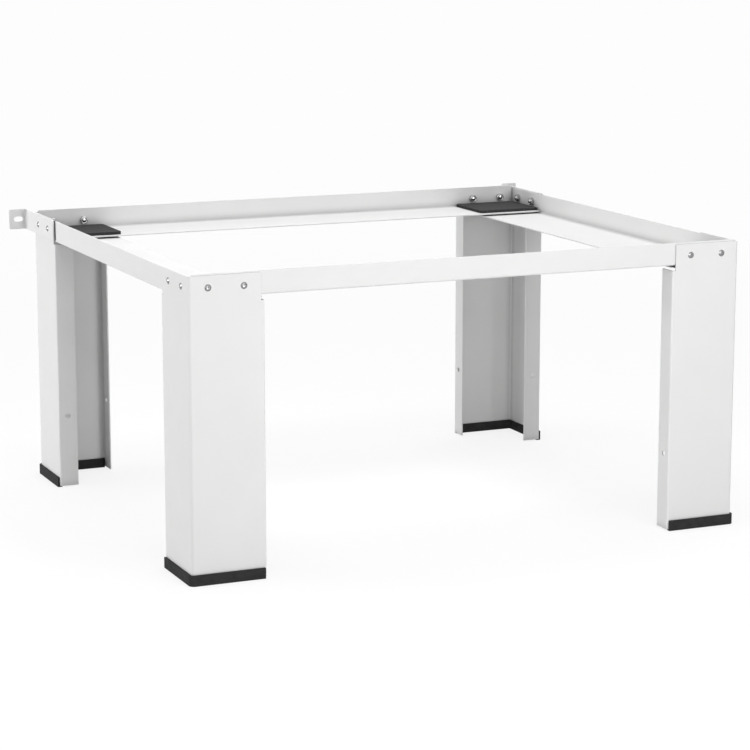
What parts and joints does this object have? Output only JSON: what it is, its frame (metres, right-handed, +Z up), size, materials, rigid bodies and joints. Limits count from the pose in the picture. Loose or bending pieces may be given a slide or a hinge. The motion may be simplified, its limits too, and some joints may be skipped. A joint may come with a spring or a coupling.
{
  "type": "washing machine stand",
  "caption": "Low steel stand for a washing machine: bent sheet legs, L-section rails bolted as a tray, pads on the ledges, black foot trims and slotted wall brackets.",
  "frame": {"origin": "on the floor plane, under the middle of the whole object's box, wall brackets included", "axes": "+X to the stand's right as seen from its front, +Y to the wall behind it, +Z up"},
  "size_m": [0.672, 0.578, 0.317],
  "materials": {
    "powder_coat": "white powder coat, satin with a fine orange peel",
    "trim_plastic": "black moulded edge trim, matt",
    "pad_rubber": "black rubber sheet, matt with a fine grain",
    "zinc_plate": "bright zinc plate"
  },
  "bodies": {
    "root": {"leg_front_left": "powder_coat", "leg_front_right": "powder_coat", "leg_rear_left": "powder_coat", "leg_rear_right": "powder_coat", "rail_front": "powder_coat", "rail_rear": "powder_coat", "rail_left": "powder_coat", "rail_right": "powder_coat", "foot_trim_front_left": "trim_plastic", "foot_trim_front_right": "trim_plastic", "foot_trim_rear_left": "trim_plastic", "foot_trim_rear_right": "trim_plastic", "pad_front_left": "pad_rubber", "pad_front_right": "pad_rubber", "pad_rear_left": "pad_rubber", "pad_rear_right": "pad_rubber", "wall_bracket_left": "powder_coat", "wall_bracket_right": "powder_coat", "bolts_front_left": "zinc_plate", "bolts_front_right": "zinc_plate", "bolts_rear_left": "zinc_plate", "bolts_rear_right": "zinc_plate", "nuts_front_left": "zinc_plate", "nuts_front_right": "zinc_plate", "nuts_rear_left": "zinc_plate", "nuts_rear_right": "zinc_plate"}
  },
  "joints": []
}
